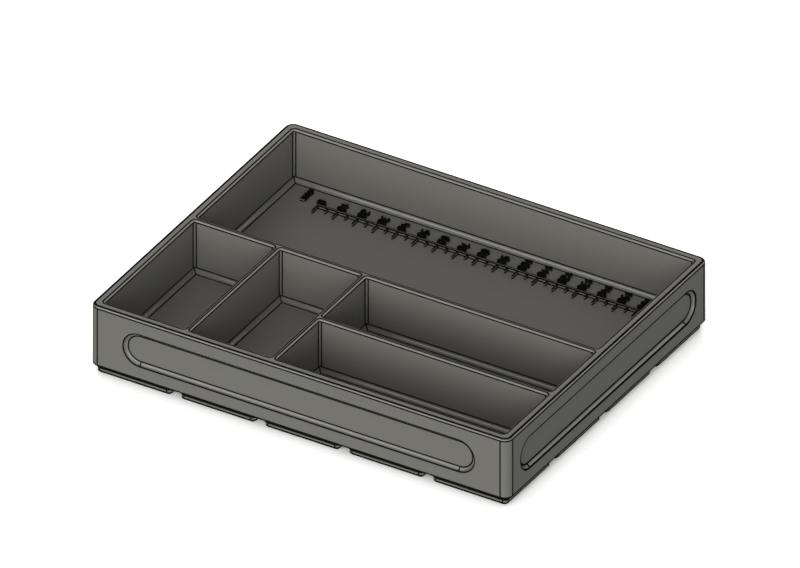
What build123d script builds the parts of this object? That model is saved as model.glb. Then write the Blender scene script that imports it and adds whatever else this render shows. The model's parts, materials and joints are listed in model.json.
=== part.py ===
from build123d import *
import os

# Parts sorting tray with five open compartments, a raised ruler on the floor of the rear one,
# grip recesses in the four outer walls and twenty feet that drop into a 42 mm storage grid.
# Origin at the middle of the underside, +X along the long front, +Y to the back, +Z up.
# All sizes are in millimetres.

# Outer body: whole grid units, less a clearance so that neighbouring bins slide past each other.
GRID_PITCH = 42.0
GRID_COLUMNS = 5
GRID_ROWS = 4
GRID_CLEARANCE = 0.5
HEIGHT_UNIT = 7.0
HEIGHT_UNITS = 5
LENGTH = GRID_COLUMNS * GRID_PITCH - GRID_CLEARANCE
WIDTH = GRID_ROWS * GRID_PITCH - GRID_CLEARANCE
HEIGHT = HEIGHT_UNITS * HEIGHT_UNIT
CORNER_RADIUS = 4.0

# Each foot is a stepped square plug: chamfer, short upright band, chamfer out to the body.
FOOT_TOP = GRID_PITCH - GRID_CLEARANCE
FOOT_LOWER_CHAMFER = 0.8
FOOT_BAND = 1.8
FOOT_UPPER_CHAMFER = 2.15
FOOT_HEIGHT = FOOT_LOWER_CHAMFER + FOOT_BAND + FOOT_UPPER_CHAMFER

# Walls, floor and roundings of the compartments.
WALL = 4.75
DIVIDER = 3.0
FLOOR_TOP = 9.0
COVE_RADIUS = 2.0
INNER_CORNER_RADIUS = 1.0
RIM_RADIUS = 1.0

# Compartment layout, from the inside of the outer walls.
SMALL_LENGTH = 40.0
FRONT_DEPTH = 75.0
LONG_DEPTH = 36.0
LEFT, RIGHT = -LENGTH / 2 + WALL, LENGTH / 2 - WALL
FRONT, BACK = -WIDTH / 2 + WALL, WIDTH / 2 - WALL
LEFT_DIVIDER_X = LEFT + SMALL_LENGTH
MIDDLE_DIVIDER_X = LEFT_DIVIDER_X + DIVIDER + SMALL_LENGTH
LONG_LEFT = MIDDLE_DIVIDER_X + DIVIDER
REAR_DIVIDER_Y = FRONT + FRONT_DEPTH
LONG_DIVIDER_Y = FRONT + LONG_DEPTH

# A divider's ends lap into the wall or divider that they meet, and its foot into the floor.
LAP = DIVIDER / 2
FLOOR_LAP = 1.0

# Grip recesses: long round-ended pockets with a full-depth cove around them.
GRIP_HEIGHT = 16.0
GRIP_MIDDLE_Z = 19.5
GRIP_DEPTH = 1.6
GRIP_END_LONG_WALL = 17.0
GRIP_END_SHORT_WALL = 10.75

# Raised ruler, centred on the tray's length, with its zero on the left.
RULER_LENGTH = 160
RULER_RELIEF = 1.5
RULER_LINE_Y = 65.25
RULER_LINE_WIDTH = 1.2
MAJOR_STEP = 10
MAJOR_TICK = 4.6
MINOR_TICK = 2.4
TICK_WIDTH = 0.4
RULER_ZERO_X = -RULER_LENGTH / 2
MAJOR_X = [RULER_ZERO_X + millimetre for millimetre in range(0, RULER_LENGTH + 1, MAJOR_STEP)]
MINOR_X = [x + MAJOR_STEP / 2 for x in MAJOR_X[:-1]]

# Numerals lie on their side, with their tops towards +X and their last digit next to the line.
PEN_WIDTH = 0.5
PEN_CORNER_RADIUS = 0.75
TIGHT_CORNER_RADIUS = 0.3
TIGHT_CORNERED = "17m"
DIGIT_WIDTH = 2.5
DIGIT_HEIGHT = 3.9
DIGIT_GAP = 0.55
NUMERAL_NEAR_Y = 67.55
UNIT_MARK = "mm"
UNIT_MARK_NEAR_Y = 66.65
UNIT_MARK_X = -88.6
LETTER_WIDTH = 3.9
LETTER_HEIGHT = 2.5
LETTER_GAP = 0.5

# Pen strokes of each sign, through corners given as shares of the sign's width and height.
RING = ((0, 0), (1, 0), (1, 1), (0, 1), (0, 0))
STROKES = {
    "0": (RING,),
    "1": (((0.05, 0.7), (0.55, 1), (0.55, 0)),),
    "2": (((0, 1), (1, 1), (1, 0.5), (0, 0.5), (0, 0), (1, 0)),),
    "3": (((0, 1), (1, 1), (1, 0), (0, 0)), ((0.2, 0.5), (1, 0.5))),
    "4": (((0, 1), (0, 0.35), (1, 0.35)), ((0.75, 0.7), (0.75, 0))),
    "5": (((1, 1), (0, 1), (0, 0.55), (1, 0.55), (1, 0), (0, 0)),),
    "6": (((0, 0), (1, 0), (1, 0.55), (0, 0.55), (0, 0)), ((0, 0.25), (0, 1), (1, 1))),
    "7": (((0, 1), (1, 1), (0.35, 0)),),
    "8": (RING, ((0, 0.5), (1, 0.5))),
    "9": (((0, 0.45), (1, 0.45), (1, 1), (0, 1), (0, 0.45)), ((1, 0.75), (1, 0), (0, 0))),
    "m": (((0, 0), (0, 1), (1, 1), (1, 0)), ((0.5, 1), (0.5, 0))),
}

# Cutters start or stop this far outside the surfaces that they pass through.
OVERSHOOT = 5.0


def compartment_core(left, right, front, back):
    """The air inside one compartment: coved along the floor and rounded at its upright corners."""
    length, depth = right - left, back - front
    middle_x, middle_y = (left + right) / 2, (front + back) / 2
    core_height = HEIGHT - FLOOR_TOP + OVERSHOOT
    middle_z = FLOOR_TOP + core_height / 2
    with BuildPart() as core:
        with BuildSketch(Plane.XY.offset(FLOOR_TOP)):
            with Locations((middle_x, middle_y)):
                RectangleRounded(length, depth, INNER_CORNER_RADIUS)
        extrude(amount=core_height)
        with BuildSketch(Plane.XZ.offset(-back)) as end_on:
            with Locations((middle_x, middle_z)):
                Rectangle(length, core_height)
            fillet(end_on.vertices().group_by(Axis.Y)[0], COVE_RADIUS)
        extrude(amount=depth, mode=Mode.INTERSECT)
        with BuildSketch(Plane.YZ.offset(left)) as side_on:
            with Locations((middle_y, middle_z)):
                Rectangle(depth, core_height)
            fillet(side_on.vertices().group_by(Axis.Y)[0], COVE_RADIUS)
        extrude(amount=length, mode=Mode.INTERSECT)
    return core.part


def grip_cutter(overall_length):
    """A cutter for one grip recess, centred on a wall that faces -Y. It is coved at its inner end."""
    with BuildPart() as cutter:
        with BuildSketch(Plane.XZ.offset(OVERSHOOT)):
            SlotOverall(overall_length, GRIP_HEIGHT)
        extrude(amount=-(OVERSHOOT + GRIP_DEPTH))
        fillet(cutter.faces().sort_by(Axis.Y)[-1].edges(), GRIP_DEPTH)
    return cutter.part


def block(left, right, front, back, bottom, top):
    """A plain block between the given limits."""
    middle = ((left + right) / 2, (front + back) / 2, (bottom + top) / 2)
    return Pos(*middle) * Box(right - left, back - front, top - bottom)


def divider_seat(left, right, front, back):
    """The space that a divider takes out of the body: its wall, coves, floor lap and end laps."""
    return block(left, right, front, back, FLOOR_TOP - FLOOR_LAP, HEIGHT + OVERSHOOT)


def lettering_plane(x, near_y):
    """Plane on the rear floor whose reading direction runs towards the front, with tops to +X."""
    return Plane((x, near_y, FLOOR_TOP), x_dir=(0, -1, 0), z_dir=(0, 0, 1))


def draw_sign(sign, right, width, height):
    """Draw one sign into the open sketch, upright, with its right edge at the given place."""
    pen_width, pen_height = width - PEN_WIDTH, height - PEN_WIDTH
    origin_x, origin_y = right - width + PEN_WIDTH / 2, -pen_height / 2
    corner_radius = TIGHT_CORNER_RADIUS if sign in TIGHT_CORNERED else PEN_CORNER_RADIUS
    for stroke in STROKES[sign]:
        corners = [(origin_x + x * pen_width, origin_y + y * pen_height) for x, y in stroke]
        with BuildLine() as pen_path:
            if len(corners) == 2:
                Line(*corners)
            else:
                FilletPolyline(*corners, radius=corner_radius)
        trace(pen_path.line, line_width=PEN_WIDTH)


def finish(piece, name):
    """Label one finished piece and write its file."""
    piece.part.label = name
    export_step(piece.part, f"parts/{name}.step")


os.makedirs("parts", exist_ok=True)

# The body and its dividers share this form, from which each of them is then cut.
long_wall_grip = grip_cutter(LENGTH - 2 * GRIP_END_LONG_WALL)
short_wall_grip = grip_cutter(WIDTH - 2 * GRIP_END_SHORT_WALL)
cores = [
    compartment_core(LEFT, LEFT_DIVIDER_X, FRONT, REAR_DIVIDER_Y),
    compartment_core(LEFT_DIVIDER_X + DIVIDER, MIDDLE_DIVIDER_X, FRONT, REAR_DIVIDER_Y),
    compartment_core(LONG_LEFT, RIGHT, FRONT, LONG_DIVIDER_Y),
    compartment_core(LONG_LEFT, RIGHT, LONG_DIVIDER_Y + DIVIDER, REAR_DIVIDER_Y),
    compartment_core(LEFT, RIGHT, REAR_DIVIDER_Y + DIVIDER, BACK),
]
with BuildPart() as tray_form:
    with BuildSketch(Plane.XY.offset(FOOT_HEIGHT)):
        RectangleRounded(LENGTH, WIDTH, CORNER_RADIUS)
    extrude(amount=HEIGHT - FOOT_HEIGHT)
    add(cores, mode=Mode.SUBTRACT)
    fillet(tray_form.faces().sort_by(Axis.Z)[-1].edges(), RIM_RADIUS)
    with Locations(
        Location((0, -WIDTH / 2, GRIP_MIDDLE_Z)),
        Location((0, WIDTH / 2, GRIP_MIDDLE_Z), (0, 0, 180)),
    ):
        add(long_wall_grip, mode=Mode.SUBTRACT)
    with Locations(
        Location((LENGTH / 2, 0, GRIP_MIDDLE_Z), (0, 0, 90)),
        Location((-LENGTH / 2, 0, GRIP_MIDDLE_Z), (0, 0, -90)),
    ):
        add(short_wall_grip, mode=Mode.SUBTRACT)

rear_seat = divider_seat(
    LEFT - LAP, RIGHT + LAP, REAR_DIVIDER_Y - COVE_RADIUS, REAR_DIVIDER_Y + DIVIDER + COVE_RADIUS
)
left_seat = divider_seat(
    LEFT_DIVIDER_X - COVE_RADIUS,
    LEFT_DIVIDER_X + DIVIDER + COVE_RADIUS,
    FRONT - LAP,
    REAR_DIVIDER_Y + LAP,
)
middle_seat = divider_seat(
    MIDDLE_DIVIDER_X - COVE_RADIUS, LONG_LEFT + COVE_RADIUS, FRONT - LAP, REAR_DIVIDER_Y + LAP
)
long_seat = divider_seat(
    LONG_LEFT - LAP, RIGHT + LAP, LONG_DIVIDER_Y - COVE_RADIUS, LONG_DIVIDER_Y + DIVIDER + COVE_RADIUS
)

# Body: outer walls and floor, with a shallow rabbet where each divider seats.
with BuildPart() as tray_body:
    add(tray_form.part)
    add([rear_seat, left_seat, middle_seat, long_seat], mode=Mode.SUBTRACT)
finish(tray_body, "tray_body")

# Rear divider: full width, notched where the two cross dividers lap into its front face.
with BuildPart() as rear_divider:
    add(tray_form.part)
    add(rear_seat, mode=Mode.INTERSECT)
    add([left_seat, middle_seat], mode=Mode.SUBTRACT)
finish(rear_divider, "rear_divider")

# Left cross divider: between the two small compartments.
with BuildPart() as left_cross_divider:
    add(tray_form.part)
    add(left_seat, mode=Mode.INTERSECT)
finish(left_cross_divider, "left_cross_divider")

# Middle cross divider: notched on its right face for the end of the long divider.
with BuildPart() as middle_cross_divider:
    add(tray_form.part)
    add(middle_seat, mode=Mode.INTERSECT)
    add(long_seat, mode=Mode.SUBTRACT)
finish(middle_cross_divider, "middle_cross_divider")

# Long divider: between the two long compartments on the right.
with BuildPart() as long_divider:
    add(tray_form.part)
    add(long_seat, mode=Mode.INTERSECT)
finish(long_divider, "long_divider")

# Feet, one for each grid cell, named by row from the front and column from the left.
foot_bottom = FOOT_TOP - 2 * (FOOT_LOWER_CHAMFER + FOOT_UPPER_CHAMFER)
foot_middle = FOOT_TOP - 2 * FOOT_UPPER_CHAMFER
foot_middle_radius = CORNER_RADIUS - FOOT_UPPER_CHAMFER
foot_bottom_radius = foot_middle_radius - FOOT_LOWER_CHAMFER
for row in range(GRID_ROWS):
    for column in range(GRID_COLUMNS):
        foot_x = (column - (GRID_COLUMNS - 1) / 2) * GRID_PITCH
        foot_y = (row - (GRID_ROWS - 1) / 2) * GRID_PITCH
        with BuildPart() as foot:
            with BuildSketch(Plane((foot_x, foot_y, 0))):
                RectangleRounded(foot_bottom, foot_bottom, foot_bottom_radius)
            extrude(amount=FOOT_LOWER_CHAMFER, taper=-45)
            with BuildSketch(Plane((foot_x, foot_y, FOOT_LOWER_CHAMFER))):
                RectangleRounded(foot_middle, foot_middle, foot_middle_radius)
            extrude(amount=FOOT_BAND)
            with BuildSketch(Plane((foot_x, foot_y, FOOT_LOWER_CHAMFER + FOOT_BAND))):
                RectangleRounded(foot_middle, foot_middle, foot_middle_radius)
            extrude(amount=FOOT_UPPER_CHAMFER, taper=-45)
        finish(foot, f"foot_row{row + 1}_column{column + 1}")

# Ruler line: the long raised bar that carries the graduations.
relief_middle_z = FLOOR_TOP + RULER_RELIEF / 2
with BuildPart() as ruler_line:
    with Locations((0, RULER_LINE_Y + RULER_LINE_WIDTH / 2, relief_middle_z)):
        Box(RULER_LENGTH + TICK_WIDTH, RULER_LINE_WIDTH, RULER_RELIEF)
finish(ruler_line, "ruler_line")

# Graduations: a long one every ten millimetres, and a short one halfway between.
with BuildPart() as major_ticks:
    with Locations([(x, RULER_LINE_Y - MAJOR_TICK / 2, relief_middle_z) for x in MAJOR_X]):
        Box(TICK_WIDTH, MAJOR_TICK, RULER_RELIEF)
finish(major_ticks, "major_ticks")

with BuildPart() as minor_ticks:
    with Locations([(x, RULER_LINE_Y - MINOR_TICK / 2, relief_middle_z) for x in MINOR_X]):
        Box(TICK_WIDTH, MINOR_TICK, RULER_RELIEF)
finish(minor_ticks, "minor_ticks")

# Numerals: the distance in millimetres at each long graduation, drawn from the last digit back.
for index, x in enumerate(MAJOR_X):
    label = str(index * MAJOR_STEP)
    with BuildPart() as numeral:
        with BuildSketch(lettering_plane(x, NUMERAL_NEAR_Y)):
            for place, digit in enumerate(reversed(label)):
                draw_sign(digit, -place * (DIGIT_WIDTH + DIGIT_GAP), DIGIT_WIDTH, DIGIT_HEIGHT)
        extrude(amount=RULER_RELIEF)
    finish(numeral, f"numeral_{label.zfill(3)}")

# Unit mark beside the zero end.
with BuildPart() as unit_mark:
    with BuildSketch(lettering_plane(UNIT_MARK_X, UNIT_MARK_NEAR_Y)):
        for place, letter in enumerate(reversed(UNIT_MARK)):
            draw_sign(letter, -place * (LETTER_WIDTH + LETTER_GAP), LETTER_WIDTH, LETTER_HEIGHT)
    extrude(amount=RULER_RELIEF)
finish(unit_mark, "unit_mark")
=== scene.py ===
import json
import math

import bpy
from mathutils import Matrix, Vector


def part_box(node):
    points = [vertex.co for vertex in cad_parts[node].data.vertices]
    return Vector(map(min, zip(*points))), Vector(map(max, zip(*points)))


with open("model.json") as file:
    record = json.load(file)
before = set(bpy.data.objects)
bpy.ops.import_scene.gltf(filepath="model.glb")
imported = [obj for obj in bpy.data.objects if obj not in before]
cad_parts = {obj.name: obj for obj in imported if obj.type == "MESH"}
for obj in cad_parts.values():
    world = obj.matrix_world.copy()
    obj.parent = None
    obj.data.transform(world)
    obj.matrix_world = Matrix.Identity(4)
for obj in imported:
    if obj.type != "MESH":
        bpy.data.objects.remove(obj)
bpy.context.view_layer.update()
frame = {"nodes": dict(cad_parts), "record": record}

# ---------------------------------------------------------------- sizes, in millimetres
MM = 1000.0
GRID_PITCH = 42.0
FOOT_HALF = 20.75
FOOT_HEIGHT = 4.75
FOOT_BAND = (0.8, 2.6)
FOOT_BAND_INSET = 2.15
FOOT_SOLE_INSET = 2.95
CORNER = 4.0
WALL = 4.75
COVE = 2.0
INNER_CORNER = 1.0
RIM = 1.0
FLOOR_TOP = 9.0
GRIP_MIDDLE_Z = 19.5
GRIP_RADIUS = 8.0
GRIP_DEPTH = 1.6
GRIP_END_LONG_WALL = 17.0
GRIP_END_SHORT_WALL = 10.75

HALF_LENGTH, HALF_WIDTH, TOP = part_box("tray_body")[1] * MM


def across(node, axis):
    """The two faces of a divider along one axis, between the coves that its node includes."""
    low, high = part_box(node)
    return low[axis] * MM + COVE, high[axis] * MM - COVE


LEFT, RIGHT = -HALF_LENGTH + WALL, HALF_LENGTH - WALL
FRONT, BACK = -HALF_WIDTH + WALL, HALF_WIDTH - WALL
rear_front, rear_back = across("rear_divider", 1)
left_cross = across("left_cross_divider", 0)
middle_cross = across("middle_cross_divider", 0)
long_front, long_back = across("long_divider", 1)
COMPARTMENTS = (
    (LEFT, left_cross[0], FRONT, rear_front),
    (left_cross[1], middle_cross[0], FRONT, rear_front),
    (middle_cross[1], RIGHT, FRONT, long_front),
    (middle_cross[1], RIGHT, long_back, rear_front),
    (LEFT, RIGHT, rear_back, BACK),
)

ruler_front, ruler_back = (corner.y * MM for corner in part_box("ruler_line"))
RULER_MIDDLE_Y, RULER_HALF = (ruler_front + ruler_back) / 2, (ruler_back - ruler_front) / 2
RULER_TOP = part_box("ruler_line")[1].z * MM

# ---------------------------------------------------------------- looks
EDGE_LINE = 0.70
EDGE_SOFTNESS = 0.05
SIDE_LINE = 0.95
OUTLINE = 1.15
# The body's bottom edge line is drawn wide: partly an edge line, partly painted shade of the gap above
# the feet.
BASE_LINE_AND_SHADE = 1.5
MOUTH_SHIFT = 0.12
RULER_LINE = 0.9
NUMERAL_LINE_GAIN = 0.6
# Painted shade in creases: an ambient-occlusion node darkens surfaces that other surfaces crowd within
# this reach.
CREASE_SHADE_REACH = 0.7
CREASE_SHADE_SAMPLES = 8
CREASE_SHADE_OPEN, CREASE_SHADE_CLOSED = 0.88, 0.80
PLASTIC = (0.124, 0.120, 0.110)
# Near-black for the edge lines and for the painted shade in creases and on the feet's upper chamfers.
LINE_AND_SHADE_COLOUR = (0.006, 0.006, 0.005)
MOTTLE = 0.05
MOTTLE_SCALE, MOTTLE_DETAIL = 0.35, 4.0
GRAIN_SCALE, GRAIN_DETAIL = 6.0, 2.0
SMOOTHEST, GRAIN_ROUGHNESS = 0.36, 0.08
SHINE = 0.45
GRAIN_BUMP, GRAIN_HEIGHT = 0.05, 0.1


class Field:
    """A number that varies over a surface, made of Math nodes in one material's tree."""

    def __init__(self, tree, socket):
        self.tree = tree
        self.socket = socket

    def math(self, operation, *others):
        node = self.tree.nodes.new("ShaderNodeMath")
        node.operation = operation
        for entry, value in zip(node.inputs, (self, *others)):
            if isinstance(value, Field):
                self.tree.links.new(value.socket, entry)
            else:
                entry.default_value = value
        return Field(self.tree, node.outputs[0])

    def __add__(self, other):
        return self.math("ADD", other)

    def __sub__(self, other):
        return self.math("SUBTRACT", other)

    def __mul__(self, other):
        return self.math("MULTIPLY", other)

    def __abs__(self):
        return self.math("ABSOLUTE")

    def low(self, other):
        return self.math("MINIMUM", other)

    def high(self, other):
        return self.math("MAXIMUM", other)

    def above(self, level):
        return self.math("GREATER_THAN", level)

    def below(self, level):
        return self.math("LESS_THAN", level)

    def ramp(self, zero_at, one_at):
        """0 to 1 between two levels, and steady beyond them."""
        rising = (self - zero_at) * (1.0 / (one_at - zero_at))
        rising.socket.node.use_clamp = True
        return rising

    def line(self, width=EDGE_LINE):
        """1 within half a line's width of where this field is zero, and 0 away from it."""
        return abs(self).ramp(width / 2 + EDGE_SOFTNESS, width / 2 - EDGE_SOFTNESS)


def hypotenuse(a, b):
    return (a * a + b * b).math("SQRT")


def edge(a, b, width=EDGE_LINE):
    """A line along the edge on which two distances are both zero."""
    return hypotenuse(a, b).line(width)


def any_of(fields):
    """The highest of several fields."""
    fields = list(fields)
    total = fields[0]
    for field in fields[1:]:
        total = total.high(field)
    return total


def outline_distance(x, y, half_x, half_y, radius):
    """Signed distance to a rounded rectangle's outline, and how far past its straights each way."""
    past_x = abs(x) - (half_x - radius)
    past_y = abs(y) - (half_y - radius)
    outside = hypotenuse(past_x.high(0.0), past_y.high(0.0))
    inside = past_x.high(past_y).low(0.0)
    return outside + inside - radius, past_x, past_y


def grip_lines(along, z, depth, half_straight, width):
    """Lines around a grip recess: its mouth, the foot of its cove, and where its ends begin."""
    past_end = abs(along) - half_straight
    distance = hypotenuse(past_end.high(0.0), z - GRIP_MIDDLE_Z) - GRIP_RADIUS
    in_cove = distance.below(0.0) * distance.above(-GRIP_DEPTH) * depth.above(-GRIP_DEPTH)
    return any_of((
        edge(distance - MOUTH_SHIFT, depth, width + MOUTH_SHIFT),
        edge(distance + GRIP_DEPTH, depth + GRIP_DEPTH, width),
        past_end.line(width) * in_cove * depth.below(0.0),
    ))


def compartment_lines(x, y, z, left, right, front, back):
    """Lines around one compartment: its rim, its upright corners, and both sides of its cove."""
    local_x, local_y = x - (left + right) / 2, y - (front + back) / 2
    half_x, half_y = (right - left) / 2, (back - front) / 2
    inner, past_x, past_y = outline_distance(local_x, local_y, half_x, half_y, INNER_CORNER)
    to_end, to_side = abs(local_x) - half_x, abs(local_y) - half_y
    on_wall = z.above(FLOOR_TOP + COVE) * z.below(TOP - RIM)
    in_cove = z.below(FLOOR_TOP + COVE) * z.above(FLOOR_TOP - EDGE_LINE / 2) * inner.below(EDGE_LINE)
    in_corner = to_end.above(-COVE) * to_side.above(-COVE)
    return any_of((
        edge(inner - RIM, z - TOP),
        edge(inner, z - (TOP - RIM)),
        edge(inner, z - (FLOOR_TOP + COVE)),
        edge(to_end.high(to_side) + COVE, z - FLOOR_TOP),
        edge(past_x, to_side).high(edge(past_y, to_end, SIDE_LINE)) * on_wall,
        (to_end - to_side).line() * in_cove * in_corner,
    ))


def tray_lines(x, y, z):
    """Every edge line of the body and its dividers."""
    outer, past_x, past_y = outline_distance(x, y, HALF_LENGTH, HALF_WIDTH, CORNER)
    to_end, to_side = abs(x) - HALF_LENGTH, abs(y) - HALF_WIDTH
    outside = (
        edge(outer + RIM, z - TOP, OUTLINE),
        edge(outer, z - (TOP - RIM)),
        # Bottom edge line, widened with painted shade of the gap above the feet.
        edge(outer, z - FOOT_HEIGHT, BASE_LINE_AND_SHADE),
        edge(past_x, to_side).high(edge(past_y, to_end, SIDE_LINE)) * z.below(TOP - RIM),
        grip_lines(x, z, to_side, HALF_LENGTH - GRIP_END_LONG_WALL - GRIP_RADIUS, EDGE_LINE),
        grip_lines(y, z, to_end, HALF_WIDTH - GRIP_END_SHORT_WALL - GRIP_RADIUS, SIDE_LINE),
    )
    inside = (compartment_lines(x, y, z, *limits) for limits in COMPARTMENTS)
    return any_of((*outside, *inside))


def foot_lines_and_shade(x, y, z):
    """The feet repeat at the grid pitch. Each is painted dark on its chamfers, beside a plain upright
    band: painted shade on the upper chamfer under the body, and a dark edge line on the lower one.
    """
    local_x = x - (x * (1 / GRID_PITCH)).math("ROUND") * GRID_PITCH
    from_row = y - GRID_PITCH / 2
    local_y = from_row - (from_row * (1 / GRID_PITCH)).math("ROUND") * GRID_PITCH
    outline, past_x, past_y = outline_distance(local_x, local_y, FOOT_HALF, FOOT_HALF, CORNER)
    band_low, band_high = FOOT_BAND
    plain_low, plain_high = band_low + EDGE_LINE, band_high - EDGE_LINE / 2
    from_plain = abs(z - (plain_low + plain_high) / 2) - (plain_high - plain_low) / 2
    # Painted shade: the upper chamfer, tucked under the body, is coloured as if in deep shade.
    on_chamfers = from_plain.ramp(-EDGE_SOFTNESS, EDGE_SOFTNESS)
    seams = any_of((
        edge(past_x, abs(local_y) - (FOOT_HALF - FOOT_BAND_INSET)),
        edge(past_y, abs(local_x) - (FOOT_HALF - FOOT_BAND_INSET)),
    ))
    return on_chamfers.high(seams) * outline.above(-FOOT_SOLE_INSET - EDGE_LINE / 2)


def ruler_lines(x, y, z):
    """Lines along the top edges of the raised marks, which run together where a mark is narrow."""
    inset = (abs(y - RULER_MIDDLE_Y) * -1.0 + RULER_HALF).high(0.0)
    on_numeral = y.above(RULER_MIDDLE_Y + 2 * RULER_HALF)
    from_top_edge = hypotenuse(inset, z - RULER_TOP) - on_numeral * NUMERAL_LINE_GAIN
    return from_top_edge.high(0.0).line(RULER_LINE)


def plastic(name, colour, lines, own_crease_shade_only=False):
    """Satin printed plastic: fine mottling, a faint grain, dark lines on edges, and painted shade in
    creases.

    When only the part's own creases count, what stands close by, such as the floor under a foot, adds
    no painted shade.
    """
    material = bpy.data.materials.new(name)
    material.use_nodes = True
    tree = material.node_tree
    shader = tree.nodes["Principled BSDF"]
    position = tree.nodes.new("ShaderNodeTexCoord").outputs["Object"]
    scaled = tree.nodes.new("ShaderNodeVectorMath")
    scaled.operation = "SCALE"
    scaled.inputs["Scale"].default_value = MM
    tree.links.new(position, scaled.inputs[0])
    parts = tree.nodes.new("ShaderNodeSeparateXYZ")
    tree.links.new(scaled.outputs[0], parts.inputs[0])

    def noise(scale, detail):
        node = tree.nodes.new("ShaderNodeTexNoise")
        node.inputs["Scale"].default_value = scale
        node.inputs["Detail"].default_value = detail
        tree.links.new(scaled.outputs[0], node.inputs["Vector"])
        return node.outputs["Fac"]

    def blend(factor, first, second):
        node = tree.nodes.new("ShaderNodeMix")
        node.data_type = "RGBA"
        tree.links.new(factor, node.inputs["Factor"])
        for entry, value in ((node.inputs[6], first), (node.inputs[7], second)):
            if isinstance(value, tuple):
                entry.default_value = (*value, 1.0)
            else:
                tree.links.new(value, entry)
        return node.outputs[2]

    # Painted shade: where nearby surfaces hide the light, the colour is darkened like a contact
    # shadow.
    crease_shade = tree.nodes.new("ShaderNodeAmbientOcclusion")
    crease_shade.samples = CREASE_SHADE_SAMPLES
    crease_shade.only_local = own_crease_shade_only
    crease_shade.inputs["Distance"].default_value = CREASE_SHADE_REACH / MM
    openness = Field(tree, crease_shade.outputs["AO"])
    drawn = lines(*(Field(tree, output) for output in parts.outputs))
    inked_or_shaded = drawn.high(openness.ramp(CREASE_SHADE_OPEN, CREASE_SHADE_CLOSED))

    darker = tuple((1 - MOTTLE) * channel for channel in colour)
    lighter = tuple((1 + MOTTLE) * channel for channel in colour)
    mottled = blend(noise(MOTTLE_SCALE, MOTTLE_DETAIL), darker, lighter)
    tree.links.new(blend(inked_or_shaded.socket, mottled, LINE_AND_SHADE_COLOUR), shader.inputs["Base Color"])
    grain = Field(tree, noise(GRAIN_SCALE, GRAIN_DETAIL))
    roughness = (grain * GRAIN_ROUGHNESS + SMOOTHEST).high(inked_or_shaded)
    tree.links.new(roughness.socket, shader.inputs["Roughness"])
    tree.links.new((inked_or_shaded * -SHINE + SHINE).socket, shader.inputs["Specular IOR Level"])
    bump = tree.nodes.new("ShaderNodeBump")
    bump.inputs["Strength"].default_value = GRAIN_BUMP
    bump.inputs["Distance"].default_value = GRAIN_HEIGHT / MM
    tree.links.new(grain.socket, bump.inputs["Height"])
    tree.links.new(bump.outputs["Normal"], shader.inputs["Normal"])
    return material


MATERIALS = {
    "tray_plastic": plastic("tray_satin_plastic", PLASTIC, tray_lines),
    "foot_plastic": plastic("foot_satin_plastic", PLASTIC, foot_lines_and_shade, own_crease_shade_only=True),
    "ruler_plastic": plastic("ruler_satin_plastic", PLASTIC, ruler_lines),
}
for row in frame["record"]["subparts"]:
    node = frame["nodes"][row["node"]]
    node.data.materials.clear()
    node.data.materials.append(MATERIALS[row["material_slot"]])


# ---------------------------------------------------------------- floor, lights and camera
FLOOR_SIZE = 4.0
FLOOR_WHITE = 0.9
FLOOR_GLOW = 0.62
CONTACT_SHADOW_REACH = 0.015
AIM = Vector((0.0, 0.0, 0.02))
KEY_AZIMUTH, KEY_ELEVATION = 19.0, 14.0
KEY_STRENGTH, KEY_SPREAD = 8.3, 8.0
SKY_STRENGTH, BELOW_STRENGTH = 0.155, 0.30
WORLD_TINT = (0.98, 1.0, 0.97)
LIGHT_DISTANCE = 1.3
# name, azimuth, elevation, width, power, colour, and what it acts on
SOFTBOXES = (
    ("overhead_softbox", 0.0, 90.0, 1.6, 2.9, (1.0, 0.96, 0.88), "both"),
    ("rear_softbox", 215.0, 30.0, 1.2, 2.9, (1.0, 0.96, 0.88), "both"),
    ("rear_fill", 215.0, 12.0, 0.5, 9.0, (1.0, 0.98, 0.95), "diffuse"),
    ("left_highlight", -31.0, 31.0, 0.5, 9.0, (1.0, 1.0, 0.97), "gloss"),
    ("right_highlight", 145.0, 28.0, 0.5, 5.5, (1.0, 0.98, 0.94), "gloss"),
)
CAMERA_AZIMUTH, CAMERA_ELEVATION = 30.95, 33.2
CAMERA_DISTANCE = 1.5
CAMERA_WIDTH = 0.34324
CAMERA_AIM = Vector((-0.00756, 0.01344, 0.02356))


def direction(azimuth, elevation):
    """Unit vector towards a viewpoint: azimuth 0 is in front, and positive turns to the right."""
    a, e = math.radians(azimuth), math.radians(elevation)
    return Vector((math.sin(a) * math.cos(e), -math.cos(a) * math.cos(e), math.sin(e)))


def place(name, data, azimuth, elevation, distance, aim):
    """Put a light or camera at a distance from its aim, looking at it."""
    made = bpy.data.objects.new(name, data)
    bpy.context.scene.collection.objects.link(made)
    towards = direction(azimuth, elevation)
    made.location = aim + towards * distance
    made.rotation_euler = towards.to_track_quat("Z", "Y").to_euler()
    return made


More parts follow.
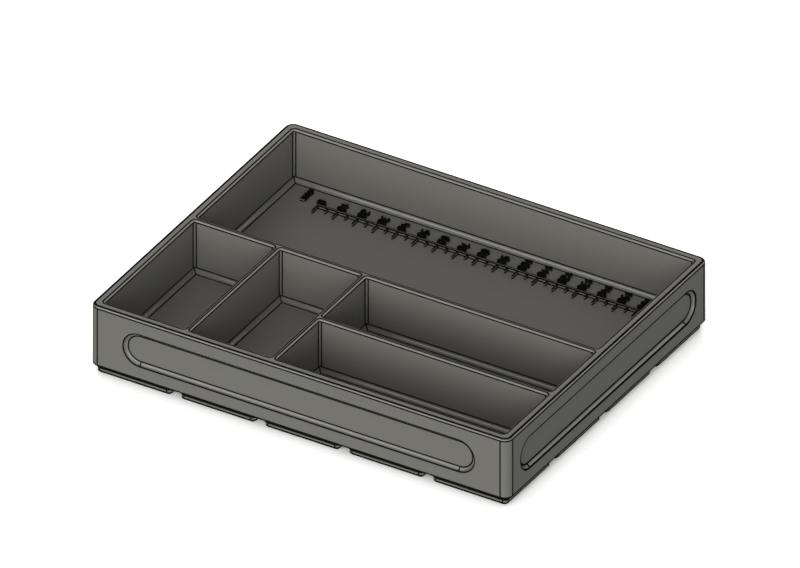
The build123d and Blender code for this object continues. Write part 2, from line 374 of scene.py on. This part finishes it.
def make_floor():
    """A plain white floor that the feet stand on. It throws no light back up onto the tray. Its glow
    is dimmed near the tray, a painted contact shadow.
    """
    half = FLOOR_SIZE / 2
    corners = [(-half, -half, 0), (half, -half, 0), (half, half, 0), (-half, half, 0)]
    mesh = bpy.data.meshes.new("floor")
    mesh.from_pydata(corners, [], [(0, 1, 2, 3)])
    floor = bpy.data.objects.new("floor", mesh)
    bpy.context.scene.collection.objects.link(floor)
    floor.visible_diffuse = False
    floor.visible_glossy = False
    material = bpy.data.materials.new("floor_white")
    material.use_nodes = True
    shader = material.node_tree.nodes["Principled BSDF"]
    shader.inputs["Base Color"].default_value = (FLOOR_WHITE, FLOOR_WHITE, FLOOR_WHITE, 1.0)
    shader.inputs["Roughness"].default_value = 1.0
    shader.inputs["Specular IOR Level"].default_value = 0.0
    shader.inputs["Emission Color"].default_value = (1.0, 1.0, 1.0, 1.0)
    # Painted contact shadow: the floor's glow fades where the tray stands close by.
    contact_shadow = material.node_tree.nodes.new("ShaderNodeAmbientOcclusion")
    contact_shadow.inputs["Distance"].default_value = CONTACT_SHADOW_REACH
    glow = Field(material.node_tree, contact_shadow.outputs["AO"]) * FLOOR_GLOW
    material.node_tree.links.new(glow.socket, shader.inputs["Emission Strength"])
    mesh.materials.append(material)


def make_world():
    """A broad glow low in front, in an even sky, with a little light from below the horizon."""
    world = bpy.data.worlds.new("studio")
    world.use_nodes = True
    tree = world.node_tree
    background = tree.nodes["Background"]
    background.inputs["Color"].default_value = (*WORLD_TINT, 1.0)
    towards = tree.nodes.new("ShaderNodeTexCoord").outputs["Generated"]
    facing = tree.nodes.new("ShaderNodeVectorMath")
    facing.operation = "DOT_PRODUCT"
    facing.inputs[1].default_value = direction(KEY_AZIMUTH, KEY_ELEVATION)
    tree.links.new(towards, facing.inputs[0])
    parts = tree.nodes.new("ShaderNodeSeparateXYZ")
    tree.links.new(towards, parts.inputs[0])
    height = Field(tree, parts.outputs["Z"])
    glow = Field(tree, facing.outputs["Value"]).high(0.0).math("POWER", KEY_SPREAD) * KEY_STRENGTH
    strength = (glow + SKY_STRENGTH) * height.above(0.0) + height.below(0.0) * BELOW_STRENGTH
    tree.links.new(strength.socket, background.inputs["Strength"])
    bpy.context.scene.world = world


def make_softboxes():
    """Round lights above and behind, a low fill, and two that only catch the rounded edges."""
    for name, azimuth, elevation, width, power, colour, acts_on in SOFTBOXES:
        light = bpy.data.lights.new(name, "AREA")
        light.shape = "DISK"
        light.size = width
        light.energy = power
        light.color = colour
        placed = place(name, light, azimuth, elevation, LIGHT_DISTANCE, AIM)
        placed.visible_diffuse = acts_on != "gloss"
        placed.visible_glossy = acts_on != "diffuse"


def make_camera():
    """A camera without perspective, from the front right and above."""
    camera = bpy.data.cameras.new("camera")
    camera.type = "ORTHO"
    camera.ortho_scale = CAMERA_WIDTH
    bpy.context.scene.camera = place(
        "camera", camera, CAMERA_AZIMUTH, CAMERA_ELEVATION, CAMERA_DISTANCE, CAMERA_AIM
    )


make_floor()
make_world()
make_softboxes()
make_camera()
bpy.context.scene.view_settings.view_transform = "Standard"
